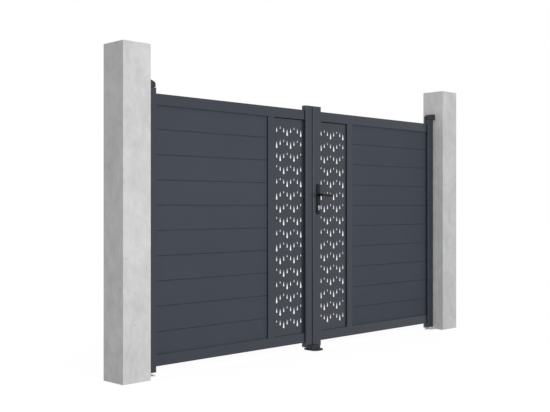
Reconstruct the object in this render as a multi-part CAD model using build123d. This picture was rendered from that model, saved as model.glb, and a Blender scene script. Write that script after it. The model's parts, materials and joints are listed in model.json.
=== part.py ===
from build123d import *

import os
from math import acos, cos, pi, sin

# Double-leaf swing gate of coated aluminium between two square concrete pillars.
# Units are millimetres. The origin is the centre of the left pillar's foot, +X runs along the gate
# to the right pillar, +Y from the street side to the yard, and +Z is up.

# Pillars and opening
PILLAR_SIDE = 200.0
PILLAR_HEIGHT = 2000.0
PILLAR_CHAMFER = 3.0
CLEAR_OPENING = 3030.0

# Leaf frame of closed rectangular tubes
GROUND_GAP = 24.5
STILE_HEIGHT = 1733.0
STILE_DEPTH = 42.0
STILE_OVERRUN = 33.0
HINGE_STILE_WIDTH = 75.0
MEETING_STILE_WIDTH = 66.0
LOCK_STILE_WIDTH = 88.0
HINGE_GAP = 27.0
MEETING_GAP = 8.0
RAIL_HEIGHT = 70.0
RAIL_DEPTH = 28.0
RAIL_SETBACK = 12.0
MULLION_WIDTH = 60.0
PANEL_BAY = 307.0
TUBE_WALL = 2.5
TUBE_CHAMFER = 1.2
STILE_CHAMFER = 3.0
CAP_THICKNESS = 3.0
CAP_PLUG = 30.0

# Infill, held in slots cut through the tube walls
FILL_SETBACK = 12.0
FILL_SIDE_SEAT = 12.0
FILL_END_SEAT = 8.0
SLIP = 0.3

# Tongue-and-groove boards
BOARD_COVER = 155.25
BOARD_THICKNESS = 12.0
BOARD_WALL = 1.6
BOARD_CELLS = 2
BOARD_CHAMFER = 3.0
BOARD_JOINT = 0.4
TONGUE_THICKNESS = 3.0
TONGUE_LENGTH = 7.0

# Perforated panel: folded sheet with teardrops cut through its face
SHEET = 2.0
DROP_PITCH_ACROSS = 34.8
DROP_PITCH_DOWN = 90.0
DROP_SIDE_MARGIN = 20.0
DROP_SHIFT = 4.0
DROP_END_MARGIN = 60.0
# Length, radius of the round end, and height of the tip above the row's centre line
SMALL_DROP = (23.5, 4.2, 34.0)
MEDIUM_DROP = (40.0, 6.0, 27.5)
LARGE_DROP = (54.0, 8.0, 18.5)
DROP_CHORDS = 3

# Pivots
RUNNING_CLEARANCE = 0.08
PIVOT_INSET = 16.0
PIN_DIAMETER = 14.0
PIN_ENGAGEMENT = 25.0
BRACKET_LENGTH = 96.0
BRACKET_HEIGHT = 55.0
BRACKET_LIP = 23.0
BRACKET_CROWN = 5.0
BRACKET_NOSE = 10.0
BRACKET_GAP = 3.0
BRACKET_SEAT = 28.0
PIVOT_PLATE_LENGTH = 100.0
PIVOT_PLATE_WIDTH = 50.0
PIVOT_PLATE_THICKNESS = 8.0
PIVOT_PLATE_CHAMFER = 10.0

# Floor stop
STOP_BASE_LENGTH = 128.0
STOP_BASE_WIDTH = 106.0
STOP_BASE_THICKNESS = 10.0
STOP_BASE_ROUNDING = 36.0
STOP_BASE_SHIFT = 21.0
STOP_LUG_WIDTH = 90.0
STOP_LUG_DEPTH = 20.0
STOP_LUG_TOP = 36.0
STOP_LUG_ROUNDING = 9.0
STOP_CLEARANCE = 6.0

# Lock and lever
LEVER_HEIGHT = 1117.0
CYLINDER_DROP = 85.0
BACKSET = 53.0
PLATE_WIDTH = 30.0
PLATE_LENGTH = 220.0
PLATE_THICKNESS = 8.0
PLATE_ABOVE_LEVER = 79.0
NECK_DIAMETER = 17.0
GRIP_REACH = 108.0
GRIP_STANDOFF = 40.0
GRIP_ROOT_WIDTH = 24.0
GRIP_TIP_WIDTH = 19.0
GRIP_DROOP = 4.0
GRIP_THICKNESS = 11.0
GRIP_CHAMFER = 2.0
SPINDLE_SIDE = 8.0
SPINDLE_SOCKET = 14.0
CYLINDER_DIAMETER = 17.0
CYLINDER_HEIGHT = 33.0
CYLINDER_WEB = 10.0
CYLINDER_PROUD = 3.0
KEYWAY_WIDTH = 2.0
KEYWAY_HEIGHT = 9.0
KEYWAY_DEPTH = 6.0
LOCK_CASE_DEPTH = 70.0
LOCK_CASE_THICKNESS = 16.0
LOCK_CASE_MARGIN = 34.0
FACEPLATE_WIDTH = 20.0
FACEPLATE_LENGTH = 236.0
LATCH_WINDOW = 22.0
BOLT_WINDOW = 34.0
WINDOW_WIDTH = 11.0

# Levels
STILE_FOOT = GROUND_GAP
STILE_TOP = STILE_FOOT + STILE_HEIGHT
TUBE_FOOT = STILE_FOOT + CAP_THICKNESS
TUBE_TOP = STILE_TOP - CAP_THICKNESS
BOTTOM_RAIL = (STILE_FOOT + STILE_OVERRUN, STILE_FOOT + STILE_OVERRUN + RAIL_HEIGHT)
TOP_RAIL = (STILE_TOP - STILE_OVERRUN - RAIL_HEIGHT, STILE_TOP - STILE_OVERRUN)
FILL_FOOT = BOTTOM_RAIL[1] - FILL_END_SEAT
FILL_TOP = TOP_RAIL[0] + FILL_END_SEAT

# Depths
STILE_Y = (-STILE_DEPTH / 2, STILE_DEPTH / 2)
RAIL_Y = (STILE_Y[0] + RAIL_SETBACK, STILE_Y[0] + RAIL_SETBACK + RAIL_DEPTH)
FILL_Y = (RAIL_Y[0] + FILL_SETBACK, RAIL_Y[0] + FILL_SETBACK + BOARD_THICKNESS)
SLOT_Y = (FILL_Y[0] - SLIP, FILL_Y[1] + SLIP)

# Distances along the leaf, from the pillar's inner face towards the middle of the opening
LEFT, RIGHT = 1, -1
QUARTER_TURN = 90
HINGE_FAR = HINGE_GAP + HINGE_STILE_WIDTH
PIVOT = HINGE_GAP + PIVOT_INSET
STILE_PAIR = MEETING_STILE_WIDTH + MEETING_GAP + LOCK_STILE_WIDTH
MEETING_NEAR = (CLEAR_OPENING - STILE_PAIR) / 2
MULLION_FAR = MEETING_NEAR - PANEL_BAY
MULLION_NEAR = MULLION_FAR - MULLION_WIDTH
INNER_FACE = {LEFT: PILLAR_SIDE / 2, RIGHT: PILLAR_SIDE / 2 + CLEAR_OPENING}
PILLAR_CENTRE = {LEFT: 0.0, RIGHT: PILLAR_SIDE + CLEAR_OPENING}
CLOSING_WIDTH = {LEFT: MEETING_STILE_WIDTH, RIGHT: LOCK_STILE_WIDTH}
SIDE_NAME = {LEFT: "left", RIGHT: "right"}


def place(side, distance):
    """X of a point at a distance from a pillar's inner face, into the opening."""
    return INNER_FACE[side] + side * distance


def reach(side, near, far):
    """X span between two distances from a pillar's inner face."""
    return tuple(sorted((place(side, near), place(side, far))))


def grown(span, amount):
    """A span made longer, or shorter, by the same amount at both ends."""
    return (span[0] - amount, span[1] + amount)


def block(x, y, z):
    """Box between the low and high ends of three spans."""
    centre = [(low + high) / 2 for low, high in (x, y, z)]
    size = [high - low for low, high in (x, y, z)]
    return Pos(*centre) * Box(*size)


def rod(x, y, z, diameter):
    """Upright cylinder at x, y over the span z."""
    return Pos(x, y, (z[0] + z[1]) / 2) * Cylinder(diameter / 2, z[1] - z[0])


def bar(x, z, y, diameter):
    """Cylinder through the leaf at x, z over the span y."""
    return Pos(x, (y[0] + y[1]) / 2, z) * Rot(QUARTER_TURN, 0, 0) * Cylinder(diameter / 2, y[1] - y[0])


def across(face, y):
    """Extrude a face drawn on the XZ plane over the span y."""
    return Pos(0, (y[0] + y[1]) / 2, 0) * extrude(face, amount=(y[1] - y[0]) / 2, both=True)


def pillar(side):
    """Square concrete pillar with its arrises just taken off."""
    half = PILLAR_SIDE / 2
    x = grown((PILLAR_CENTRE[side],) * 2, half)
    body = block(x, (-half, half), (0, PILLAR_HEIGHT))
    arrises = body.edges().filter_by(Axis.Z) + body.faces().sort_by(Axis.Z)[-1].edges()
    return chamfer(arrises, PILLAR_CHAMFER)


def upright_profile(x, y, z, edge):
    """Upright bar with the outline of a tube, its long edges taken off."""
    body = block(x, y, z)
    return chamfer(body.edges().filter_by(Axis.Z), edge)


def upright_tube(x, y, z, edge):
    """Rectangular tube standing on end."""
    return upright_profile(x, y, z, edge) - block(grown(x, -TUBE_WALL), grown(y, -TUBE_WALL), z)


def stile_tube(x):
    """Tube of a stile, between its end caps."""
    return upright_tube(x, STILE_Y, (TUBE_FOOT, TUBE_TOP), STILE_CHAMFER)


def lying_tube(x, y, z):
    """Rectangular tube lying along the leaf."""
    outer = block(x, y, z)
    outer = chamfer(outer.edges().filter_by(Axis.X), TUBE_CHAMFER)
    return outer - block(x, grown(y, -TUBE_WALL), grown(z, -TUBE_WALL))


def wall_slot(x, z):
    """Cut through a tube wall that lets the infill into the tube."""
    return block(x, SLOT_Y, z)


def hinge_stile(side):
    """Tube on the pivots, slotted on its inner wall for the board ends."""
    tube = stile_tube(reach(side, HINGE_GAP, HINGE_FAR))
    slot = reach(side, HINGE_FAR - TUBE_WALL, HINGE_FAR)
    return tube - wall_slot(slot, grown((FILL_FOOT, FILL_TOP), SLIP))


def meeting_stile(side):
    """Closing tube, slotted for the panel and cut out for the lock or its keep."""
    far = MEETING_NEAR + CLOSING_WIDTH[side]
    tube = stile_tube(reach(side, MEETING_NEAR, far))
    slot = reach(side, MEETING_NEAR, MEETING_NEAR + TUBE_WALL)
    tube -= wall_slot(slot, grown((FILL_FOOT, FILL_TOP), SLIP))
    edge = reach(side, far - TUBE_WALL, far)
    half = FACEPLATE_WIDTH / 2 + SLIP
    tube -= block(edge, (-half, half), grown(faceplate_levels(), SLIP))
    if side == RIGHT:
        through = grown(STILE_Y, TUBE_WALL)
        tube -= bar(lock_x(), LEVER_HEIGHT, through, NECK_DIAMETER + 2 * RUNNING_CLEARANCE)
        tube -= cylinder_body(through, SLIP)
    return tube


def rail(side, z, slot_foot):
    """Lying tube between the stiles, slotted along its inner wall on both sides of the mullion."""
    slot_z = (slot_foot, slot_foot + TUBE_WALL)
    tube = lying_tube(reach(side, HINGE_FAR, MEETING_NEAR), RAIL_Y, z)
    tube -= wall_slot(reach(side, HINGE_FAR, MULLION_NEAR + FILL_SIDE_SEAT + SLIP), slot_z)
    tube -= wall_slot(reach(side, MULLION_FAR - FILL_SIDE_SEAT - SLIP, MEETING_NEAR), slot_z)
    return tube


def mullion(side):
    """Upright tube between the rails, slotted on both walls and stiffened by a web between them."""
    z = (BOTTOM_RAIL[1], TOP_RAIL[0])
    middle = (MULLION_NEAR + MULLION_FAR) / 2
    tube = upright_tube(reach(side, MULLION_NEAR, MULLION_FAR), RAIL_Y, z, TUBE_CHAMFER)
    tube += block(reach(side, middle - TUBE_WALL / 2, middle + TUBE_WALL / 2), RAIL_Y, z)
    tube -= wall_slot(reach(side, MULLION_NEAR, MULLION_NEAR + TUBE_WALL), z)
    return tube - wall_slot(reach(side, MULLION_FAR - TUBE_WALL, MULLION_FAR), z)


def board_section(foot, top, tongue, groove):
    """Hollow board seen from its end, in depth and height, with chamfered edges."""
    front, back = FILL_Y
    middle = (front + back) / 2
    half_tongue = TONGUE_THICKNESS / 2
    half_groove = half_tongue + SLIP
    groove_depth = TONGUE_LENGTH + SLIP if groove else 0.0
    outline = [(front, foot + BOARD_CHAMFER), (front + BOARD_CHAMFER, foot)]
    if groove:
        outline += [(middle - half_groove, foot), (middle - half_groove, foot + groove_depth)]
        outline += [(middle + half_groove, foot + groove_depth), (middle + half_groove, foot)]
    outline += [(back - BOARD_CHAMFER, foot), (back, foot + BOARD_CHAMFER)]
    outline += [(back, top - BOARD_CHAMFER), (back - BOARD_CHAMFER, top)]
    if tongue:
        outline += [(middle + half_tongue, top), (middle + half_tongue, top + TONGUE_LENGTH)]
        outline += [(middle - half_tongue, top + TONGUE_LENGTH), (middle - half_tongue, top)]
    outline += [(front + BOARD_CHAMFER, top), (front, top - BOARD_CHAMFER)]
    section = make_face(Polyline(*outline, close=True))
    low = foot + max(groove_depth, BOARD_CHAMFER) + BOARD_WALL
    high = top - BOARD_CHAMFER - BOARD_WALL
    cell = (high - low - (BOARD_CELLS - 1) * BOARD_WALL) / BOARD_CELLS
    for number in range(BOARD_CELLS):
        centre = low + cell / 2 + number * (cell + BOARD_WALL)
        section -= Pos(middle, centre) * Rectangle(BOARD_THICKNESS - 2 * BOARD_WALL, cell)
    return section


def boards(side):
    """Boards stacked down from the top rail, the last one cut to the height that is left."""
    x = reach(side, HINGE_FAR - FILL_SIDE_SEAT, MULLION_NEAR + FILL_SIDE_SEAT)
    count = max(1, round((FILL_TOP - FILL_FOOT) / BOARD_COVER))
    stack = []
    for number in range(count):
        first, last = number == 0, number == count - 1
        top = FILL_TOP - number * BOARD_COVER
        foot = FILL_FOOT if last else top - BOARD_COVER + BOARD_JOINT
        section = board_section(foot, top, tongue=not first, groove=not last)
        stack.append(extrude(Plane.YZ.offset(x[0]) * section, amount=x[1] - x[0]))
    return Compound(stack)


def drop(x, row, size):
    """Teardrop with its tip up: two straight sides that touch a round end of a few chords."""
    length, radius, rise = size
    tip = row + rise
    centre = tip - length + radius
    turn = acos(radius / (length - radius))
    outline = [(x, tip)]
    for step in range(DROP_CHORDS + 1):
        angle = turn + step * 2 * (pi - turn) / DROP_CHORDS
        outline.append((x + radius * sin(angle), centre + radius * cos(angle)))
    return Wire(Polyline(*outline, close=True).edges())


def drop_panel(side):
    """Folded sheet with teardrops whose three sizes run in waves across the rows."""
    x = reach(side, MULLION_FAR - FILL_SIDE_SEAT, MEETING_NEAR + FILL_SIDE_SEAT)
    z = (FILL_FOOT, FILL_TOP)
    wave = [SMALL_DROP, MEDIUM_DROP, LARGE_DROP, MEDIUM_DROP]
    columns = int((PANEL_BAY - 2 * DROP_SIDE_MARGIN) / DROP_PITCH_ACROSS) + 1
    rows = int((TOP_RAIL[0] - BOTTOM_RAIL[1] - 2 * DROP_END_MARGIN) / DROP_PITCH_DOWN) + 1
    middle_x, middle_z = (x[0] + x[1]) / 2 + side * DROP_SHIFT, (z[0] + z[1]) / 2
    first_x = middle_x - (columns - 1) * DROP_PITCH_ACROSS / 2
    first_z = middle_z + (rows - 1) * DROP_PITCH_DOWN / 2
    drops = []
    for row in range(rows):
        for column in range(columns):
            size = wave[(column - row - 1) % len(wave)]
            drops.append(drop(first_x + column * DROP_PITCH_ACROSS, first_z - row * DROP_PITCH_DOWN, size))
    edge = Polyline((x[0], z[0]), (x[1], z[0]), (x[1], z[1]), (x[0], z[1]), close=True)
    front = FILL_Y[0]
    sheet = across(Plane.XZ * Face(Wire(edge.edges()), drops), (front, front + SHEET))
    inside_x, inside_z = grown(x, -SHEET), grown(z, -SHEET)
    returns = block(x, (front + SHEET, FILL_Y[1]), z) - block(inside_x, FILL_Y, inside_z)
    return sheet + returns


def tube_cap(x, plate_z, plug_z):
    """End cap of a stile: a plate over the tube's end and a plug inside it."""
    plug = block(grown(x, -TUBE_WALL - SLIP), grown(STILE_Y, -TUBE_WALL - SLIP), plug_z)
    return upright_profile(x, STILE_Y, plate_z, STILE_CHAMFER) + plug


def stile_caps(x):
    """Foot cap and top cap of one stile."""
    foot = tube_cap(x, (STILE_FOOT, TUBE_FOOT), (TUBE_FOOT, TUBE_FOOT + CAP_PLUG))
    top = tube_cap(x, (TUBE_TOP, STILE_TOP), (TUBE_TOP - CAP_PLUG, TUBE_TOP))
    return foot, top


def hinge_caps(side):
    """Caps of the hinge stile, each with a blind bore for its pin."""
    foot, top = stile_caps(reach(side, HINGE_GAP, HINGE_FAR))
    bore = PIN_DIAMETER + 2 * RUNNING_CLEARANCE
    depth = PIN_ENGAGEMENT + SLIP
    foot -= rod(place(side, PIVOT), 0, (STILE_FOOT, STILE_FOOT + depth), bore)
    top -= rod(place(side, PIVOT), 0, (STILE_TOP - depth, STILE_TOP), bore)
    return Compound([foot, top])


def meeting_caps(side):
    """Plain caps of the closing stile."""
    return Compound(stile_caps(reach(side, MEETING_NEAR, MEETING_NEAR + CLOSING_WIDTH[side])))


def top_bracket(side):
    """Cast arm on the pillar whose crowned top falls to a round nose, with a seat for the pin."""
    foot = STILE_TOP + BRACKET_GAP
    top, lip = foot + BRACKET_HEIGHT, foot + BRACKET_LIP
    root, end = place(side, 0), place(side, BRACKET_LENGTH)
    crest = ((root + end) / 2, (lip + top) / 2 + BRACKET_CROWN)
    back = ThreePointArc((end, lip), crest, (root, top))
    rest = Polyline((root, top), (root, foot), (end, foot), (end, lip))
    arm = across(Plane.XZ * make_face(Wire(back.edges() + rest.edges())), STILE_Y)
    nose = arm.edges().filter_by(Axis.Y).sort_by_distance((end, 0, lip))[0]
    arm = fillet(nose, BRACKET_NOSE)
    seat_z = (foot, foot + BRACKET_SEAT + SLIP)
    return arm - rod(place(side, PIVOT), 0, seat_z, PIN_DIAMETER + 2 * RUNNING_CLEARANCE)


def top_pin(side):
    """Pin between the bracket and the stile's top cap."""
    z = (STILE_TOP - PIN_ENGAGEMENT, STILE_TOP + BRACKET_GAP + BRACKET_SEAT)
    return rod(place(side, PIVOT), 0, z, PIN_DIAMETER)


def ground_pivot(side):
    """Plate on the ground with a pin up into the stile's foot cap, which stands on the pin's end."""
    half = PIVOT_PLATE_WIDTH / 2
    plate = block(reach(side, 0, PIVOT_PLATE_LENGTH), (-half, half), (0, PIVOT_PLATE_THICKNESS))
    corners = plate.edges().filter_by(Axis.Z).group_by(Axis.X)[-1 if side == LEFT else 0]
    plate = chamfer(corners, PIVOT_PLATE_CHAMFER)
    pin_z = (PIVOT_PLATE_THICKNESS, STILE_FOOT + PIN_ENGAGEMENT)
    return plate + rod(place(side, PIVOT), 0, pin_z, PIN_DIAMETER)


def floor_stop():
    """Rounded base at the middle of the opening with a lug just in front of the closed leaves."""
    middle = place(LEFT, CLEAR_OPENING / 2)
    outline = RectangleRounded(STOP_BASE_WIDTH, STOP_BASE_LENGTH, STOP_BASE_ROUNDING)
    base = extrude(Pos(middle, -STOP_BASE_SHIFT) * outline, amount=STOP_BASE_THICKNESS)
    lug_back = STILE_Y[0] - STOP_CLEARANCE
    lug_x = grown((middle, middle), STOP_LUG_WIDTH / 2)
    lug = block(lug_x, (lug_back - STOP_LUG_DEPTH, lug_back), (STOP_BASE_THICKNESS, STOP_LUG_TOP))
    crown = lug.edges().filter_by(Axis.Y).group_by(Axis.Z)[-1]
    return base + fillet(crown, STOP_LUG_ROUNDING)


def lock_x():
    """X of the lever's axis and the lock cylinder."""
    return place(RIGHT, MEETING_NEAR + LOCK_STILE_WIDTH - BACKSET)


def plate_levels():
    """Levels of the foot and top of the lever's back plates."""
    top = LEVER_HEIGHT + PLATE_ABOVE_LEVER
    return (top - PLATE_LENGTH, top)


def faceplate_levels():
    """Levels of the lock's faceplate and of the keep across from it."""
    foot, top = plate_levels()
    return grown(((foot + top) / 2,) * 2, FACEPLATE_LENGTH / 2)


def cylinder_body(y, clearance):
    """Profile cylinder: a round barrel with a web below it."""
    x, z = lock_x(), LEVER_HEIGHT - CYLINDER_DROP
    barrel = bar(x, z, y, CYLINDER_DIAMETER + 2 * clearance)
    foot = z + CYLINDER_DIAMETER / 2 - CYLINDER_HEIGHT
    half_web = CYLINDER_WEB / 2 + clearance
    return barrel + block((x - half_web, x + half_web), y, (foot - clearance, z))


def lock_plate(y):
    """Oblong back plate with bores for the lever's neck and the lock cylinder."""
    foot, top = plate_levels()
    oblong = SlotOverall(PLATE_LENGTH, PLATE_WIDTH, rotation=QUARTER_TURN)
    plate = across(Plane.XZ * Pos(lock_x(), (foot + top) / 2) * oblong, y)
    plate -= bar(lock_x(), LEVER_HEIGHT, y, NECK_DIAMETER + 2 * RUNNING_CLEARANCE)
    return plate - cylinder_body(y, SLIP)


def mortise_lock():
    """Lock case inside the closing stile with its faceplate flush in the stile's edge."""
    edge = MEETING_NEAR + LOCK_STILE_WIDTH
    inner = edge - TUBE_WALL
    half_plate, half_case = FACEPLATE_WIDTH / 2, LOCK_CASE_THICKNESS / 2
    faceplate = block(reach(RIGHT, inner, edge), (-half_plate, half_plate), faceplate_levels())
    case_z = (LEVER_HEIGHT - CYLINDER_DROP - LOCK_CASE_MARGIN, LEVER_HEIGHT + LOCK_CASE_MARGIN)
    case_y = (-half_case, half_case)
    lock = faceplate + block(reach(RIGHT, inner - LOCK_CASE_DEPTH, inner), case_y, case_z)
    lock -= bar(lock_x(), LEVER_HEIGHT, case_y, NECK_DIAMETER + 2 * RUNNING_CLEARANCE)
    return lock - cylinder_body(case_y, SLIP)


def keep_plate():
    """Plate flush in the other stile's edge with windows for the latch and the bolt."""
    edge = MEETING_NEAR + MEETING_STILE_WIDTH
    x = reach(LEFT, edge - TUBE_WALL, edge)
    half = FACEPLATE_WIDTH / 2
    plate = block(x, (-half, half), faceplate_levels())
    window_y = (-WINDOW_WIDTH / 2, WINDOW_WIDTH / 2)
    latch_z = grown((LEVER_HEIGHT,) * 2, LATCH_WINDOW / 2)
    bolt_z = grown((LEVER_HEIGHT - CYLINDER_DROP,) * 2, BOLT_WINDOW / 2)
    return plate - block(x, window_y, latch_z) - block(x, window_y, bolt_z)


def lock_cylinder():
    """Lock cylinder through the stile, a little proud of both plates, with a keyway at each end."""
    y = grown(STILE_Y, PLATE_THICKNESS + CYLINDER_PROUD)
    body = cylinder_body(y, 0.0)
    x, z = lock_x(), LEVER_HEIGHT - CYLINDER_DROP
    key_x = grown((x, x), KEYWAY_WIDTH / 2)
    key_z = grown((z, z), KEYWAY_HEIGHT / 2)
    for key_y in ((y[0], y[0] + KEYWAY_DEPTH), (y[1] - KEYWAY_DEPTH, y[1])):
        body -= block(key_x, key_y, key_z)
    return body


def lever(face):
    """Lever handle: a round neck out of the stile and a grip that tapers and droops to a round tip.

    The face is -1 on the street side and +1 on the yard side.
    """
    x, z = lock_x(), LEVER_HEIGHT
    neck_start = face * (STILE_DEPTH / 2 - TUBE_WALL)
    grip_back = STILE_DEPTH / 2 + PLATE_THICKNESS + GRIP_STANDOFF - GRIP_THICKNESS / 2
    root = Pos(x, z) * Circle(GRIP_ROOT_WIDTH / 2)
    tip = Pos(x + GRIP_REACH - GRIP_TIP_WIDTH / 2, z - GRIP_DROOP) * Circle(GRIP_TIP_WIDTH / 2)
    outline = make_hull(root.edges() + tip.edges())
    grip = across(Plane.XZ * outline, sorted((face * grip_back, face * (grip_back + GRIP_THICKNESS))))
    outer = grip.faces().sort_by(Axis.Y)[0 if face < 0 else -1]
    grip = chamfer(outer.edges(), GRIP_CHAMFER)
    handle = grip + bar(x, z, sorted((neck_start, face * grip_back)), NECK_DIAMETER)
    half = SPINDLE_SIDE / 2 + RUNNING_CLEARANCE
    socket_y = sorted((neck_start, neck_start + face * (SPINDLE_SOCKET + SLIP)))
    return handle - block((x - half, x + half), socket_y, (z - half, z + half))


def lever_spindle():
    """Square bar through the lock that joins the two levers."""
    x, z, half = lock_x(), LEVER_HEIGHT, SPINDLE_SIDE / 2
    end = STILE_DEPTH / 2 - TUBE_WALL + SPINDLE_SOCKET
    return block((x - half, x + half), (-end, end), (z - half, z + half))


def all_pieces():
    """Every sub-part by the name of its file."""
    pieces = {"floor_stop": floor_stop()}
    for side in (LEFT, RIGHT):
        name = SIDE_NAME[side]
        pieces[f"{name}_pillar"] = pillar(side)
        pieces[f"{name}_top_bracket"] = top_bracket(side)
        pieces[f"{name}_top_pin"] = top_pin(side)
        pieces[f"{name}_ground_pivot"] = ground_pivot(side)
        pieces[f"{name}_hinge_stile"] = hinge_stile(side)
        pieces[f"{name}_hinge_stile_caps"] = hinge_caps(side)
        pieces[f"{name}_meeting_stile"] = meeting_stile(side)
        pieces[f"{name}_meeting_stile_caps"] = meeting_caps(side)
        pieces[f"{name}_bottom_rail"] = rail(side, BOTTOM_RAIL, BOTTOM_RAIL[1] - TUBE_WALL)
        pieces[f"{name}_top_rail"] = rail(side, TOP_RAIL, TOP_RAIL[0])
        pieces[f"{name}_mullion"] = mullion(side)
        pieces[f"{name}_boards"] = boards(side)
        pieces[f"{name}_drop_panel"] = drop_panel(side)
    pieces["mortise_lock"] = mortise_lock()
    pieces["keep_plate"] = keep_plate()
    pieces["lock_cylinder"] = lock_cylinder()
    pieces["street_lock_plate"] = lock_plate((STILE_Y[0] - PLATE_THICKNESS, STILE_Y[0]))
    pieces["yard_lock_plate"] = lock_plate((STILE_Y[1], STILE_Y[1] + PLATE_THICKNESS))
    pieces["street_lever"] = lever(-1)
    pieces["yard_lever"] = lever(1)
    pieces["lever_spindle"] = lever_spindle()
    return pieces


os.makedirs("parts", exist_ok=True)
for piece_name, piece in all_pieces().items():
    export_step(piece, f"parts/{piece_name}.step")
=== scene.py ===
import json
import math
import random

import bmesh
import bpy
from mathutils import Matrix, Vector


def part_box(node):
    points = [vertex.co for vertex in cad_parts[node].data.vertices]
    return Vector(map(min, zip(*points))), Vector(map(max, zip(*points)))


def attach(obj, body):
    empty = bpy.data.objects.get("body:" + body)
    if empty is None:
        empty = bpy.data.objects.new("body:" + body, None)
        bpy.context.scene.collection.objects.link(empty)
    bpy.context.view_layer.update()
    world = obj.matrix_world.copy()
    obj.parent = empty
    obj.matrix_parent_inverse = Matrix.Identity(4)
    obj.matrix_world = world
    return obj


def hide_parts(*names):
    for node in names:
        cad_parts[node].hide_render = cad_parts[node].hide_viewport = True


# Looks of a double-leaf swing gate of coated aluminium between two concrete pillars.
# Lengths are in metres, in the part's own frame: +X along the gate, +Y away from the street, +Z up.

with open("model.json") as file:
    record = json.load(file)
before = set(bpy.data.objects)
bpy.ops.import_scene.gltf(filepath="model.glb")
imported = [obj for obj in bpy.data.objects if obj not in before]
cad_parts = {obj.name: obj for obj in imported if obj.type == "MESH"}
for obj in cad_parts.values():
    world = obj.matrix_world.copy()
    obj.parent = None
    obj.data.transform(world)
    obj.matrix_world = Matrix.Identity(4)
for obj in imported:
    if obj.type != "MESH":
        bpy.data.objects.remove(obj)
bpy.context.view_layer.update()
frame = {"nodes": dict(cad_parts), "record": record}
RECORD = frame["record"]
SLOT_OF = {part["node"]: part["material_slot"] for part in RECORD["subparts"]}
BODY_OF = {name: body for body, names in RECORD["behaviour"]["bodies"].items() for name in names}
MM = 0.001
UP = Vector((0.0, 0.0, 1.0))
SIDES = ("left", "right")
# Way along X from each pillar towards the middle of the gate
INWARDS = {"left": 1, "right": -1}
# Ways along Y
TO_STREET = -1
TO_YARD = 1

# View of the photograph: a level camera that looks along the gate at 45 degrees
CAMERA_PLACE = (-3.0859, -4.3280, 1.037)
CAMERA_HEADING = math.radians(-45)
CAMERA_LEVEL = math.radians(90)
CAMERA_LENS = 57.76
CAMERA_SENSOR = 36.0

# Light: an even pale room and one large soft lamp in front of the gate
WHITE = (1.0, 1.0, 1.0, 1.0)
ROOM_LEVEL = 0.67
KEY_PLACE = (0.5, -4.6, 1.5)
KEY_TARGET = (1.2, 0.0, 1.0)
KEY_SIZE = 2.0
KEY_POWER = 95.0
FLOOR_SIZE = 80.0
# Share of the floor that is seen to glow; the rest is matt and takes the shadow, and both add up to white
FLOOR_WHITE = 0.75
FLOOR_GLOW = 1.22

# Edges of the CAD solids that are rounded over, and those that only divide a flat or curved face
MERGE_DISTANCE = 0.01 * MM
FLAT_ANGLE = math.radians(0.5)
SHARP_ANGLE = math.radians(25)
# Long edges beside a tube's chamfers, which have a rounding of their own
ARRIS_ANGLE = math.radians(60)
ARRIS_LENGTH = 500 * MM

# Widths that edges are rounded over, and the segments of a fine and of a full rounding
FINE = 2
FULL = 3
TUBE_ROUNDING = 0.6 * MM
TUBE_ARRIS = 1.9 * MM
CAP_ROUNDING = 1.0 * MM
RAIL_ROUNDING = 0.5 * MM
BOARD_ROUNDING = 0.5 * MM
PIVOT_ROUNDING = 1.0 * MM
STOP_ROUNDING = 2.5 * MM
LOCK_PLATE_ROUNDING = 0.5 * MM
LEVER_ROUNDING = 1.0 * MM
LOCK_ROUNDING = 0.4 * MM

# Shading: faces that turn by less than the angle are one curve, and at the full weight large faces stay flat
CURVE_ANGLE = math.radians(50)
FLAT_FACE_WEIGHT = 100
# A face looks along an axis where its normal has more than this share of it
FACING = 0.9

# Perforated panel
SHEET = 2.0 * MM
DROP_PITCH_ACROSS = 34.8 * MM
DROP_PITCH_DOWN = 90.0 * MM
DROP_COLUMNS = 8
DROP_ROWS = 16
# The pattern stands a little nearer to the meeting stile
DROP_SHIFT = 4.0 * MM
# Length, radius of the round end, and height of the tip above the row's centre line
SMALL_DROP = (23.5 * MM, 4.2 * MM, 34.0 * MM)
MEDIUM_DROP = (40.0 * MM, 6.0 * MM, 27.5 * MM)
LARGE_DROP = (54.0 * MM, 8.0 * MM, 18.5 * MM)
DROP_WAVE = (SMALL_DROP, MEDIUM_DROP, LARGE_DROP, MEDIUM_DROP)
DROP_ARC_STEPS = 16

# Black strip over the front of each perforated panel under its top rail: painted shade that stands in for the
# shadow gap there
SHADE_STRIP_WIDTH = 5.0 * MM
SHADE_STRIP_PROUD = 2.5 * MM
SHADE_STRIP_ROUNDING = 0.8 * MM

# Top brackets: height at the pillar and at the blunt end of the nose
BRACKET_ROOT = 47.0 * MM
BRACKET_LIP = 21.0 * MM
BRACKET_STEPS = 14
BRACKET_ROUNDING = 1.2 * MM
# Powers that keep the crown nearly level at first and then turn it down over the nose
CROWN_REACH = 2 / 3
CROWN_FALL = 4 / 3

# Screws with a hexagon socket: radius and height of the head, then radius and depth of the socket
LOCK_SCREW = (4.0 * MM, 1.4 * MM, 1.8 * MM, 1.0 * MM)
FLUSH_SCREW = (3.6 * MM, 0.4 * MM, 1.6 * MM, 0.3 * MM)
GROUND_SCREW = (7.5 * MM, 4.0 * MM, 3.8 * MM, 2.4 * MM)
SCREW_SIDES = 24
SOCKET_SIDES = 6
# Rounding of the head's rim, as a share of its height
SCREW_ROUNDING = 0.35
FACEPLATE_SCREW_INSET = 8.0 * MM
# Screws of a ground pivot, measured from its pillar
PIVOT_SCREW_NEAR = 14.0 * MM
PIVOT_SCREW_FAR = 82.0 * MM
PIVOT_SCREW_SPREAD = 14.0 * MM
PIVOT_PLATE_TOP = 8.0 * MM
# Screws of the floor stop, measured from its front and back ends
STOP_BASE_TOP = 10.0 * MM
STOP_SCREW_SPREAD = 32.0 * MM
STOP_SCREW_FRONT = 19.0 * MM
STOP_SCREW_BACK = 38.0 * MM

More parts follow.
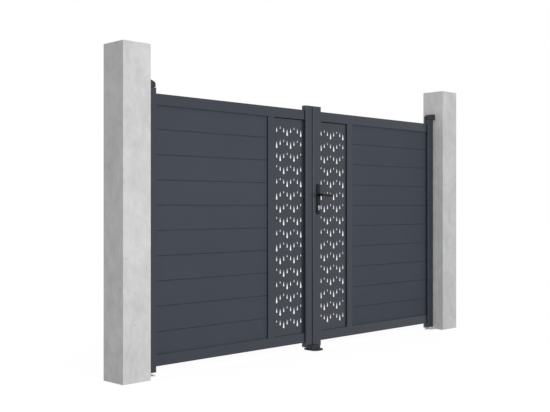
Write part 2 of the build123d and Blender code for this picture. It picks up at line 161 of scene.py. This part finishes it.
# Concrete pillars: rounded arrises and bug holes left by air against the mould
PILLAR_ARRIS = 3.5 * MM
# Bug holes on every side: distance from the side's left edge, height and radius
BUG_HOLES = (
    (88 * MM, 528 * MM, 4.0 * MM),
    (88 * MM, 338 * MM, 4.5 * MM),
    (118 * MM, 273 * MM, 4.0 * MM),
    (165 * MM, 666 * MM, 3.5 * MM),
)
BUG_HOLE_SIDES = 10
# Depth of a hole as a share of its radius, and width of its bottom as a share of its mouth
BUG_HOLE_DEPTH = 0.9
BUG_HOLE_TAPER = 0.6
SMALL_BUG_HOLES = 26
SMALL_BUG_HOLE_RADIUS = (1.2 * MM, 2.4 * MM)
BUG_HOLE_MARGIN = 14 * MM
BUG_HOLE_SEED = 11


# Materials

def linear(code):
    """Linear colour of an sRGB hex value."""
    shares = [int(code[i:i + 2], 16) / 255 for i in (1, 3, 5)]
    return tuple(s / 12.92 if s <= 0.04045 else ((s + 0.055) / 1.055) ** 2.4 for s in shares) + (1.0,)


def node(tree, kind, inputs=None, **settings):
    """Add a node: a socket among the inputs is linked, and any other value is set."""
    made = tree.nodes.new(kind)
    for name, value in settings.items():
        setattr(made, name, value)
    for name, value in (inputs or {}).items():
        if isinstance(value, bpy.types.NodeSocket):
            tree.links.new(value, made.inputs[name])
        else:
            made.inputs[name].default_value = value
    return made


def new_material(name):
    """An empty material with the part's own coordinates and a Principled shader."""
    material = bpy.data.materials.new(name)
    material.use_nodes = True
    tree = material.node_tree
    tree.nodes.clear()
    shader = node(tree, "ShaderNodeBsdfPrincipled")
    node(tree, "ShaderNodeOutputMaterial", {"Surface": shader.outputs["BSDF"]})
    place = node(tree, "ShaderNodeTexCoord").outputs["Object"]
    return material, tree, shader, place


def per_metre(size):
    """Texture scale that gives features of a real size."""
    return 1 / size


def powder_coat(name, tints, gloss, reflectance):
    """Polyester powder coat, baked on aluminium, with a fine orange peel that softens reflections."""
    material, tree, shader, place = new_material(name)
    drift = node(tree, "ShaderNodeTexNoise", {"Vector": place, "Scale": per_metre(450 * MM), "Detail": 3.0})
    # The peel of a real coat is about 0.5 mm across; it is drawn at 3 mm so that it shows
    peel = node(tree, "ShaderNodeTexNoise", {"Vector": place, "Scale": per_metre(3 * MM), "Detail": 2.0})
    tint = node(tree, "ShaderNodeMix", {
        "Factor": drift.outputs["Fac"], "A": linear(tints[0]), "B": linear(tints[1]),
    }, data_type="RGBA")
    tree.links.new(tint.outputs["Result"], shader.inputs["Base Color"])
    rough = node(tree, "ShaderNodeMapRange", {
        "Value": peel.outputs["Fac"], "To Min": gloss[0], "To Max": gloss[1],
    })
    tree.links.new(rough.outputs["Result"], shader.inputs["Roughness"])
    shader.inputs["Specular IOR Level"].default_value = reflectance
    bump = node(tree, "ShaderNodeBump", {
        "Height": peel.outputs["Fac"], "Strength": 0.06, "Distance": 0.3 * MM,
    })
    tree.links.new(bump.outputs["Normal"], shader.inputs["Normal"])
    return material


def cast_concrete():
    """Fair-faced concrete from a smooth mould: pale, with drifting clouds, faint veins and fine speckle."""
    material, tree, shader, place = new_material("fair_faced_concrete")
    clouds = node(tree, "ShaderNodeTexNoise", {
        "Vector": place, "Scale": per_metre(160 * MM), "Detail": 5.0, "Roughness": 0.55, "Distortion": 0.6,
    })
    drawn = node(tree, "ShaderNodeMapping", {"Vector": place, "Scale": (1.0, 1.0, 0.4)})
    veins = node(tree, "ShaderNodeTexNoise", {
        "Vector": drawn.outputs["Vector"], "Scale": per_metre(60 * MM), "Detail": 4.0, "Distortion": 1.8,
    })
    speckle = node(tree, "ShaderNodeTexNoise", {
        "Vector": place, "Scale": per_metre(6 * MM), "Detail": 4.0, "Roughness": 0.7,
    })
    ramp = node(tree, "ShaderNodeValToRGB", {"Fac": clouds.outputs["Fac"]})
    ramp.color_ramp.elements[0].position = 0.30
    ramp.color_ramp.elements[0].color = linear("#C8C8C8")
    ramp.color_ramp.elements[1].position = 0.70
    ramp.color_ramp.elements[1].color = linear("#D8D8D8")
    veined = node(tree, "ShaderNodeMix", {
        "Factor": 0.4, "A": ramp.outputs["Color"], "B": veins.outputs["Fac"],
    }, data_type="RGBA", blend_type="SOFT_LIGHT")
    speckled = node(tree, "ShaderNodeMix", {
        "Factor": 0.25, "A": veined.outputs["Result"], "B": speckle.outputs["Fac"],
    }, data_type="RGBA", blend_type="SOFT_LIGHT")
    tree.links.new(speckled.outputs["Result"], shader.inputs["Base Color"])
    shader.inputs["Roughness"].default_value = 0.85
    shader.inputs["Specular IOR Level"].default_value = 0.3
    bump = node(tree, "ShaderNodeBump", {
        "Height": speckle.outputs["Fac"], "Strength": 0.25, "Distance": 0.6 * MM,
    })
    tree.links.new(bump.outputs["Normal"], shader.inputs["Normal"])
    return material


def moulded_nylon():
    """Glass-filled nylon, moulded against a spark-eroded tool: dull, with an even fine grain."""
    material, tree, shader, place = new_material("moulded_nylon_cap")
    # The grain of such a tool is a fraction of a millimetre; it is drawn at 1.5 mm so that it shows
    grain = node(tree, "ShaderNodeTexVoronoi", {"Vector": place, "Scale": per_metre(1.5 * MM)})
    tint = node(tree, "ShaderNodeMix", {
        "Factor": grain.outputs["Distance"], "A": linear("#2B2F35"), "B": linear("#34383E"),
    }, data_type="RGBA")
    tree.links.new(tint.outputs["Result"], shader.inputs["Base Color"])
    shader.inputs["Roughness"].default_value = 0.6
    bump = node(tree, "ShaderNodeBump", {
        "Height": grain.outputs["Distance"], "Strength": 0.12, "Distance": 0.2 * MM,
    })
    tree.links.new(bump.outputs["Normal"], shader.inputs["Normal"])
    return material


def painted_casting():
    """Die-cast aluminium under black paint: dull, with the soft unevenness of the casting."""
    material, tree, shader, place = new_material("black_painted_casting")
    skin = node(tree, "ShaderNodeTexNoise", {"Vector": place, "Scale": per_metre(4 * MM), "Detail": 3.0})
    tint = node(tree, "ShaderNodeMix", {
        "Factor": skin.outputs["Fac"], "A": linear("#343638"), "B": linear("#3E4042"),
    }, data_type="RGBA")
    tree.links.new(tint.outputs["Result"], shader.inputs["Base Color"])
    gloss = node(tree, "ShaderNodeMapRange", {
        "Value": skin.outputs["Fac"], "To Min": 0.65, "To Max": 0.80,
    })
    tree.links.new(gloss.outputs["Result"], shader.inputs["Roughness"])
    shader.inputs["Specular IOR Level"].default_value = 0.20
    bump = node(tree, "ShaderNodeBump", {
        "Height": skin.outputs["Fac"], "Strength": 0.15, "Distance": 0.4 * MM,
    })
    tree.links.new(bump.outputs["Normal"], shader.inputs["Normal"])
    return material


def zinc_plate():
    """Zinc-plated steel: pale grey metal, slightly cloudy, dulled outdoors."""
    material, tree, shader, place = new_material("zinc_plated_steel")
    cloud = node(tree, "ShaderNodeTexNoise", {"Vector": place, "Scale": per_metre(12 * MM), "Detail": 4.0})
    tint = node(tree, "ShaderNodeMix", {
        "Factor": cloud.outputs["Fac"], "A": linear("#C9CCCE"), "B": linear("#E2E4E5"),
    }, data_type="RGBA")
    tree.links.new(tint.outputs["Result"], shader.inputs["Base Color"])
    shader.inputs["Metallic"].default_value = 1.0
    gloss = node(tree, "ShaderNodeMapRange", {
        "Value": cloud.outputs["Fac"], "To Min": 0.45, "To Max": 0.60,
    })
    tree.links.new(gloss.outputs["Result"], shader.inputs["Roughness"])
    return material


def black_anodised():
    """Black anodised aluminium: a thin dark skin, satin, that takes a soft sheen on its edges."""
    material, tree, shader, place = new_material("black_anodised_aluminium")
    # The etched skin is far finer than this; it is drawn at 2 mm so that it shows
    skin = node(tree, "ShaderNodeTexNoise", {"Vector": place, "Scale": per_metre(2 * MM), "Detail": 2.0})
    tint = node(tree, "ShaderNodeMix", {
        "Factor": skin.outputs["Fac"], "A": linear("#0D0E0F"), "B": linear("#131415"),
    }, data_type="RGBA")
    tree.links.new(tint.outputs["Result"], shader.inputs["Base Color"])
    shader.inputs["Roughness"].default_value = 0.32
    shader.inputs["Specular IOR Level"].default_value = 0.21
    bump = node(tree, "ShaderNodeBump", {
        "Height": skin.outputs["Fac"], "Strength": 0.05, "Distance": 0.1 * MM,
    })
    tree.links.new(bump.outputs["Normal"], shader.inputs["Normal"])
    return material


def satin_nickel():
    """Satin nickel on brass: warm pale metal, brushed up and down."""
    material, tree, shader, place = new_material("satin_nickel")
    drawn = node(tree, "ShaderNodeMapping", {"Vector": place, "Scale": (1.0, 1.0, 0.05)})
    # Real brush marks are finer; they are drawn 0.6 mm wide so that they show
    brush = node(tree, "ShaderNodeTexNoise", {
        "Vector": drawn.outputs["Vector"], "Scale": per_metre(0.6 * MM), "Detail": 2.0,
    })
    tint = node(tree, "ShaderNodeMix", {
        "Factor": brush.outputs["Fac"], "A": linear("#BDBBB8"), "B": linear("#D2D0CD"),
    }, data_type="RGBA")
    tree.links.new(tint.outputs["Result"], shader.inputs["Base Color"])
    shader.inputs["Metallic"].default_value = 1.0
    gloss = node(tree, "ShaderNodeMapRange", {
        "Value": brush.outputs["Fac"], "To Min": 0.25, "To Max": 0.40,
    })
    tree.links.new(gloss.outputs["Result"], shader.inputs["Roughness"])
    return material


def shade_strip_material():
    """Near-black strip material that paints the shade of the gap under a panel's top rail: quite dull, with a
    faint uneven bloom.
    """
    material, tree, shader, place = new_material("painted_shade_strip_black")
    bloom = node(tree, "ShaderNodeTexNoise", {"Vector": place, "Scale": per_metre(20 * MM), "Detail": 3.0})
    tint = node(tree, "ShaderNodeMix", {
        "Factor": bloom.outputs["Fac"], "A": linear("#0A0A0B"), "B": linear("#131314"),
    }, data_type="RGBA")
    tree.links.new(tint.outputs["Result"], shader.inputs["Base Color"])
    gloss = node(tree, "ShaderNodeMapRange", {
        "Value": bloom.outputs["Fac"], "To Min": 0.70, "To Max": 0.85,
    })
    tree.links.new(gloss.outputs["Result"], shader.inputs["Roughness"])
    shader.inputs["Specular IOR Level"].default_value = 0.08
    return material


FINISH = {
    "anthracite_coat": powder_coat("satin_powder_coat", ("#2D323C", "#313641"), (0.20, 0.28), 0.38),
    "concrete": cast_concrete(),
    "cap_plastic": moulded_nylon(),
    "black_casting": painted_casting(),
    "zinc_steel": zinc_plate(),
    "black_handle": black_anodised(),
    "nickel": satin_nickel(),
}

# The boards' coat is of the same grey with a fine texture: duller than the frame's, with a paler base
BOARD_COAT = powder_coat("textured_powder_coat", ("#3F444D", "#444953"), (0.48, 0.58), 0.10)

# Near-black of the strips that paint the shade under the panels' top rails
SHADE_STRIP_BLACK = shade_strip_material()


# Making pieces

def present(bm, name, body, slot, stands_for=()):
    """Turn a bmesh into a smooth-shaded piece on a body, in place of the CAD nodes that it stands for."""
    mesh = bpy.data.meshes.new(name)
    bm.to_mesh(mesh)
    bm.free()
    mesh.shade_smooth()
    mesh.set_sharp_from_angle(angle=CURVE_ANGLE)
    mesh.materials.append(FINISH[slot])
    piece = bpy.data.objects.new(name, mesh)
    bpy.context.scene.collection.objects.link(piece)
    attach(piece, body)
    if stands_for:
        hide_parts(*stands_for)
    return piece


def keep_faces_flat(piece):
    """Shade flat faces as flat, so that only their rounded edges turn the light."""
    modifier = piece.modifiers.new("flat_faces", "WEIGHTED_NORMAL")
    modifier.keep_sharp = True
    modifier.weight = FLAT_FACE_WEIGHT


def sharp_edges(bm):
    """Edges between two faces that turn by more than a facet of a curve does."""
    return [edge for edge in bm.edges if edge.is_manifold and edge.calc_face_angle() > SHARP_ANGLE]


def round_over(bm, edges, width, segments):
    """Round edges over to a width on each side."""
    bmesh.ops.bevel(
        bm, geom=edges, offset=width, offset_type="OFFSET", affect="EDGES", segments=segments,
        profile=0.5, material=-1, clamp_overlap=True,
    )


def softened(name, width, segments, arris):
    """A copy of a CAD node with its facets joined into whole faces and its sharp edges rounded over.

    The arris, where there is one, is a width of its own for the long edges beside a tube's chamfers.
    """
    bm = bmesh.new()
    bm.from_mesh(frame["nodes"][name].data)
    bmesh.ops.remove_doubles(bm, verts=bm.verts[:], dist=MERGE_DISTANCE)
    bmesh.ops.dissolve_limit(bm, angle_limit=FLAT_ANGLE, verts=bm.verts[:], edges=bm.edges[:])
    if arris:
        sharp = sharp_edges(bm)
        long = [e for e in sharp if e.calc_face_angle() < ARRIS_ANGLE and e.calc_length() > ARRIS_LENGTH]
        round_over(bm, long, arris, segments)
    round_over(bm, sharp_edges(bm), width, segments)
    return bm


def dress(name, width, segments=FINE, arris=None):
    """Show a CAD node as a copy with softened edges."""
    bm = softened(name, width, segments, arris)
    piece = present(bm, f"{name}_dressed", BODY_OF[name], SLOT_OF[name], [name])
    keep_faces_flat(piece)
    return piece


def box_mesh(low, high):
    """A bmesh box between two corners."""
    bm = bmesh.new()
    bmesh.ops.create_cube(bm, size=1.0)
    size = Vector(high) - Vector(low)
    bmesh.ops.scale(bm, vec=size, verts=bm.verts)
    bmesh.ops.translate(bm, vec=(Vector(low) + Vector(high)) / 2, verts=bm.verts)
    return bm


def round_points(centre, right, up, radius, count):
    """Points evenly round a centre, in the plane of two directions."""
    turns = [2 * math.pi * i / count for i in range(count)]
    return [centre + (right * math.cos(t) + up * math.sin(t)) * radius for t in turns]


def loop(bm, points):
    """Closed ring of edges through points."""
    verts = [bm.verts.new(point) for point in points]
    return [bm.edges.new((a, b)) for a, b in zip(verts, verts[1:] + verts[:1])]


def pierce(bm, face, rings):
    """Fill a face again around rings of points that lie in it, and return the edges of each ring."""
    border = list(face.edges)
    normal = face.normal.copy()
    bmesh.ops.delete(bm, geom=[face], context="FACES_ONLY")
    holes = [loop(bm, ring) for ring in rings]
    edges = border + [edge for hole in holes for edge in hole]
    filled = bmesh.ops.triangle_fill(bm, edges=edges, use_beauty=True, use_dissolve=False, normal=normal)
    faces = [item for item in filled["geom"] if isinstance(item, bmesh.types.BMFace)]
    for made in faces:
        made.normal_update()
        if made.normal.dot(normal) < 0:
            made.normal_flip()
    return holes


def sink(bm, hole, inwards, taper=1.0):
    """Carry the edges of a hole inwards, drawn in by a taper, and close its end."""
    made = bmesh.ops.extrude_edge_only(bm, edges=hole)["geom"]
    rim = [item for item in made if isinstance(item, bmesh.types.BMVert)]
    centre = sum((v.co for v in rim), Vector()) / len(rim)
    bmesh.ops.scale(bm, vec=(taper, taper, taper), verts=rim, space=Matrix.Translation(-centre))
    bmesh.ops.translate(bm, vec=inwards, verts=rim)
    bmesh.ops.contextual_create(bm, geom=[item for item in made if isinstance(item, bmesh.types.BMEdge)])


# Pillars

def bug_holes(random_source, width, height):
    """Places and radii of the bug holes on one side of a pillar, the small ones scattered clear of others."""
    holes = list(BUG_HOLES)
    while len(holes) < len(BUG_HOLES) + SMALL_BUG_HOLES:
        radius = random_source.uniform(*SMALL_BUG_HOLE_RADIUS)
        across = random_source.uniform(BUG_HOLE_MARGIN, width - BUG_HOLE_MARGIN)
        up = random_source.uniform(BUG_HOLE_MARGIN, height - BUG_HOLE_MARGIN)
        gaps = [math.hypot(across - x, up - z) - radius - r for x, z, r in holes]
        if min(gaps) > BUG_HOLE_MARGIN:
            holes.append((across, up, radius))
    return holes


def pillar(side, random_source):
    """Concrete pillar with rounded arrises and bug holes sunk into its four sides."""
    name = f"{side}_pillar"
    low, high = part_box(name)
    width = high.x - low.x
    height = high.z - low.z
    bm = box_mesh(low, high)
    arrises = [edge for edge in bm.edges if max(v.co.z for v in edge.verts) > low.z + PILLAR_ARRIS]
    round_over(bm, arrises, PILLAR_ARRIS, FULL)
    for face in [face for face in bm.faces if face.calc_area() > width * height / 2]:
        normal = face.normal.copy()
        right = UP.cross(normal)
        middle = face.calc_center_median()
        corner = Vector((middle.x, middle.y, low.z)) - right * width / 2
        rings, radii = [], []
        for across, level, radius in bug_holes(random_source, width, height):
            centre = corner + right * across + UP * level
            rings.append(round_points(centre, right, UP, radius, BUG_HOLE_SIDES))
            radii.append(radius)
        for hole, radius in zip(pierce(bm, face, rings), radii):
            sink(bm, hole, -normal * radius * BUG_HOLE_DEPTH, BUG_HOLE_TAPER)
    bmesh.ops.recalc_face_normals(bm, faces=bm.faces[:])
    keep_faces_flat(present(bm, f"{name}_cast", BODY_OF[name], SLOT_OF[name], [name]))


# Perforated panels

def drop_points(x, y, row, size):
    """Teardrop outline with its tip up: straight sides that touch a round end."""
    length, radius, rise = size
    tip = row + rise
    centre = tip - length + radius
    turn = math.acos(radius / (length - radius))
    sweep = 2 * (math.pi - turn)
    points = [Vector((x, y, tip))]
    for step in range(DROP_ARC_STEPS + 1):
        angle = turn + sweep * step / DROP_ARC_STEPS
        points.append(Vector((x + radius * math.sin(angle), y, centre + radius * math.cos(angle))))
    return points


def faces_towards(bm, way):
    """Faces that look to the street or to the yard."""
    return [face for face in bm.faces if face.normal.y * way > FACING]


def row_bands(bm, first_z):
    """Cut the front of a panel halfway between its rows, and return the bands from the top down."""
    for row in range(1, DROP_ROWS):
        front = faces_towards(bm, TO_STREET)
        # A dict keeps each item once and in order, so that every run cuts alike
        cut = dict.fromkeys(item for face in front for item in (face, *face.edges, *face.verts))
        level = first_z - (row - 0.5) * DROP_PITCH_DOWN
        bmesh.ops.bisect_plane(bm, geom=list(cut), plane_co=UP * level, plane_no=UP)
    return sorted(faces_towards(bm, TO_STREET), key=lambda face: face.calc_center_median().z, reverse=True)


def drop_panel(side):
    """Folded sheet, open at the back, with rows of teardrops cut through its face."""
    name = f"{side}_drop_panel"
    low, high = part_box(name)
    bm = box_mesh(low, high)
    bmesh.ops.delete(bm, geom=faces_towards(bm, TO_YARD), context="FACES_ONLY")
    middle_x = (low.x + high.x) / 2 + INWARDS[side] * DROP_SHIFT
    first_x = middle_x - (DROP_COLUMNS - 1) * DROP_PITCH_ACROSS / 2
    first_z = (low.z + high.z) / 2 + (DROP_ROWS - 1) * DROP_PITCH_DOWN / 2
    # Every row is filled by itself
    for row, band in enumerate(row_bands(bm, first_z)):
        rings = []
        for column in range(DROP_COLUMNS):
            size = DROP_WAVE[(column - row - 1) % len(DROP_WAVE)]
            x = first_x + column * DROP_PITCH_ACROSS
            rings.append(drop_points(x, low.y, first_z - row * DROP_PITCH_DOWN, size))
        pierce(bm, band, rings)
    piece = present(bm, f"{name}_cut", BODY_OF[name], SLOT_OF[name], [name])
    piece.data.shade_flat()
    sheet = piece.modifiers.new("sheet", "SOLIDIFY")
    sheet.thickness = SHEET
    sheet.offset = -1.0
    sheet.use_even_offset = True


def panel_shade_strip(side):
    """Black strip over the front of a panel, in the corner under the top rail, that paints the shade of the
    gap there.
    """
    panel = f"{side}_drop_panel"
    uprights = [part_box(f"{side}_{upright}") for upright in ("mullion", "meeting_stile")]
    first, last = sorted(uprights, key=lambda box: box[0].x)
    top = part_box(f"{side}_top_rail")[0].z
    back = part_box(panel)[0].y
    front = back - SHADE_STRIP_PROUD
    bm = box_mesh((first[1].x, front, top - SHADE_STRIP_WIDTH), (last[0].x, back, top))
    lips = [edge for edge in bm.edges if all(v.co.y < (front + back) / 2 for v in edge.verts)]
    round_over(bm, lips, SHADE_STRIP_ROUNDING, FULL)
    piece = present(bm, f"{side}_panel_shade_strip", BODY_OF[panel], "cap_plastic")
    piece.data.materials[0] = SHADE_STRIP_BLACK
    keep_faces_flat(piece)


# Pivots and screws

def top_bracket(side):
    """Cast arm on the pillar whose level crown falls over a round nose."""
    name = f"{side}_top_bracket"
    low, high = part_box(name)
    root, end = (low.x, high.x) if side == "left" else (high.x, low.x)
    outline = [(root, low.y, low.z)]
    for step in range(BRACKET_STEPS + 1):
        turn = math.pi / 2 * step / BRACKET_STEPS
        x = root + (end - root) * math.sin(turn) ** CROWN_REACH
        rise = (BRACKET_ROOT - BRACKET_LIP) * math.cos(turn) ** CROWN_FALL
        outline.append((x, low.y, low.z + BRACKET_LIP + rise))
    outline.append((end, low.y, low.z))
    bm = bmesh.new()
    profile = bm.faces.new([bm.verts.new(point) for point in outline])
    carried = bmesh.ops.extrude_face_region(bm, geom=[profile], use_keep_orig=True)["geom"]
    far = [item for item in carried if isinstance(item, bmesh.types.BMVert)]
    bmesh.ops.translate(bm, vec=(0.0, high.y - low.y, 0.0), verts=far)
    bmesh.ops.recalc_face_normals(bm, faces=bm.faces[:])
    round_over(bm, sharp_edges(bm), BRACKET_ROUNDING, FULL)
    keep_faces_flat(present(bm, f"{name}_cast", BODY_OF[name], SLOT_OF[name], [name]))


def added(bm, others):
    """Vertices that a bmesh has beside the others."""
    return [v for v in bm.verts if v not in others]


def add_screw(bm, place, facing, size):
    """Low round head with a hexagon socket, at a place on a surface that looks along a direction."""
    radius, height, socket, depth = size
    others = set(bm.verts)
    bmesh.ops.create_cone(
        bm, cap_ends=True, segments=SCREW_SIDES, radius1=radius, radius2=radius, depth=height,
        matrix=Matrix.Translation(UP * height / 2),
    )
    head = added(bm, others)
    rim = [e for e in bm.edges if e.verts[0] in head and all(v.co.z > height / 2 for v in e.verts)]
    round_over(bm, rim, SCREW_ROUNDING * height, FULL)
    faces = [face for v in added(bm, others) for face in v.link_faces]
    top = max(faces, key=lambda face: face.normal.z * face.calc_area())
    ring = round_points(UP * height, Vector((1.0, 0.0, 0.0)), Vector((0.0, 1.0, 0.0)), socket, SOCKET_SIDES)
    sink(bm, pierce(bm, top, [ring])[0], -UP * depth)
    turned = UP.rotation_difference(Vector(facing)).to_matrix().to_4x4()
    bmesh.ops.transform(bm, matrix=Matrix.Translation(place) @ turned, verts=added(bm, others))


def screws(name, carrier, places, facing, size):
    """Screws of one kind in a carrier and of its finish, as one piece."""
    bm = bmesh.new()
    for place in places:
        add_screw(bm, place, facing, size)
    bmesh.ops.recalc_face_normals(bm, faces=bm.faces[:])
    keep_faces_flat(present(bm, name, BODY_OF[carrier], SLOT_OF[carrier]))


def lock_screws():
    """Screws through the yard plate, and flush ones in the lock's faceplate and in the keep."""
    low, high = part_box("yard_lock_plate")
    middle = (low.x + high.x) / 2
    inset = (high.x - low.x) / 2
    places = [(middle, high.y, z) for z in (low.z + inset, high.z - inset)]
    screws("yard_plate_screws", "yard_lock_plate", places, (0, 1, 0), LOCK_SCREW)
    for carrier, edge, way in (("mortise_lock", 0, -1), ("keep_plate", 1, 1)):
        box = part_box(carrier)
        depth = (box[0].y + box[1].y) / 2
        levels = (box[0].z + FACEPLATE_SCREW_INSET, box[1].z - FACEPLATE_SCREW_INSET)
        places = [(box[edge].x, depth, z) for z in levels]
        screws(f"{carrier}_screws", carrier, places, (way, 0, 0), FLUSH_SCREW)


def ground_screws(side):
    """Screws that hold a ground pivot's plate down, clear of its pin."""
    name = f"{side}_ground_pivot"
    low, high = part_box(f"{side}_pillar")
    face = high.x if side == "left" else low.x
    near = face + INWARDS[side] * PIVOT_SCREW_NEAR
    far = face + INWARDS[side] * PIVOT_SCREW_FAR
    places = [(far, spread, PIVOT_PLATE_TOP) for spread in (-PIVOT_SCREW_SPREAD, PIVOT_SCREW_SPREAD)]
    places.append((near, 0.0, PIVOT_PLATE_TOP))
    screws(f"{name}_screws", name, places, UP, GROUND_SCREW)


def stop_screws():
    """Screws that hold the floor stop's base down, one at its front and two towards its back."""
    low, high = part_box("floor_stop")
    middle = (low.x + high.x) / 2
    back = high.y - STOP_SCREW_BACK
    places = [(middle + spread, back, STOP_BASE_TOP) for spread in (-STOP_SCREW_SPREAD, STOP_SCREW_SPREAD)]
    places.append((middle, low.y + STOP_SCREW_FRONT, STOP_BASE_TOP))
    screws("floor_stop_screws", "floor_stop", places, UP, GROUND_SCREW)


# The gate

def gate_half(side, random_source):
    """A pillar with its pivots and its leaf."""
    pillar(side, random_source)
    drop_panel(side)
    for stile in ("hinge_stile", "meeting_stile"):
        dress(f"{side}_{stile}", TUBE_ROUNDING, FULL, TUBE_ARRIS)
        dress(f"{side}_{stile}_caps", CAP_ROUNDING, FULL)
    for tube in ("top_rail", "bottom_rail", "mullion"):
        dress(f"{side}_{tube}", RAIL_ROUNDING)
    boards = dress(f"{side}_boards", BOARD_ROUNDING)
    boards.data.materials[0] = BOARD_COAT
    dress(f"{side}_top_pin", PIVOT_ROUNDING)
    top_bracket(side)
    dress(f"{side}_ground_pivot", PIVOT_ROUNDING)
    ground_screws(side)
    # Black strip that paints the shade under the panel's top rail
    panel_shade_strip(side)


def lock():
    """The lock with its plates, levers and screws, and the keep."""
    lock_screws()
    for face in ("street", "yard"):
        dress(f"{face}_lock_plate", LOCK_PLATE_ROUNDING)
        dress(f"{face}_lever", LEVER_ROUNDING, FULL)
    for name in ("lock_cylinder", "mortise_lock", "keep_plate"):
        dress(name, LOCK_ROUNDING)


for cad_name, cad_node in frame["nodes"].items():
    cad_node.data.materials.clear()
    cad_node.data.materials.append(FINISH[SLOT_OF[cad_name]])

scatter = random.Random(BUG_HOLE_SEED)
for side_name in SIDES:
    gate_half(side_name, scatter)
dress("floor_stop", STOP_ROUNDING, FULL)
stop_screws()
lock()


# Stage

def shown(tree):
    """One for rays that show a surface, straight or in a reflection, and zero for rays that light it."""
    path = node(tree, "ShaderNodeLightPath").outputs
    either = node(tree, "ShaderNodeMath", {
        0: path["Is Camera Ray"], 1: path["Is Glossy Ray"],
    }, operation="MAXIMUM")
    any_of = node(tree, "ShaderNodeMath", {
        0: either.outputs["Value"], 1: path["Is Transmission Ray"],
    }, operation="MAXIMUM")
    return any_of.outputs["Value"]


def floor():
    """Pale floor that shows white to the camera and still takes the gate's shadow."""
    bm = bmesh.new()
    bmesh.ops.create_grid(bm, x_segments=1, y_segments=1, size=FLOOR_SIZE / 2)
    mesh = bpy.data.meshes.new("floor")
    bm.to_mesh(mesh)
    bm.free()
    material = bpy.data.materials.new("pale_floor")
    material.use_nodes = True
    tree = material.node_tree
    tree.nodes.clear()
    matt = node(tree, "ShaderNodeBsdfDiffuse", {"Color": linear("#C4C4C4")})
    glow = node(tree, "ShaderNodeEmission", {"Strength": FLOOR_GLOW})
    share = node(tree, "ShaderNodeMath", {0: shown(tree), 1: FLOOR_WHITE}, operation="MULTIPLY")
    both = node(tree, "ShaderNodeMixShader", {
        0: share.outputs["Value"], 1: matt.outputs["BSDF"], 2: glow.outputs["Emission"],
    })
    node(tree, "ShaderNodeOutputMaterial", {"Surface": both.outputs["Shader"]})
    mesh.materials.append(material)
    ground = bpy.data.objects.new("floor", mesh)
    bpy.context.scene.collection.objects.link(ground)


def room():
    """Even pale light from all round, which the camera and reflections see as white."""
    world = bpy.data.worlds.new("pale_room")
    world.use_nodes = True
    tree = world.node_tree
    tree.nodes.clear()
    lit = node(tree, "ShaderNodeBackground", {"Color": WHITE, "Strength": ROOM_LEVEL})
    white = node(tree, "ShaderNodeBackground", {"Color": WHITE, "Strength": 1.0})
    mixed = node(tree, "ShaderNodeMixShader", {
        0: shown(tree), 1: lit.outputs["Background"], 2: white.outputs["Background"],
    })
    node(tree, "ShaderNodeOutputWorld", {"Surface": mixed.outputs["Shader"]})
    bpy.context.scene.world = world


def key_lamp():
    """Large soft lamp in front of the gate."""
    lamp = bpy.data.lights.new("key_lamp", "AREA")
    lamp.shape = "SQUARE"
    lamp.size = KEY_SIZE
    lamp.energy = KEY_POWER
    holder = bpy.data.objects.new("key_lamp", lamp)
    holder.location = KEY_PLACE
    holder.rotation_euler = (Vector(KEY_TARGET) - Vector(KEY_PLACE)).to_track_quat("-Z", "Y").to_euler()
    bpy.context.scene.collection.objects.link(holder)


def camera():
    """Level camera at the photograph's place."""
    lens = bpy.data.cameras.new("camera")
    lens.lens = CAMERA_LENS
    lens.sensor_width = CAMERA_SENSOR
    holder = bpy.data.objects.new("camera", lens)
    holder.location = CAMERA_PLACE
    holder.rotation_euler = (CAMERA_LEVEL, 0.0, CAMERA_HEADING)
    bpy.context.scene.collection.objects.link(holder)
    bpy.context.scene.camera = holder


floor()
room()
key_lamp()
camera()
bpy.context.scene.view_settings.view_transform = "Standard"
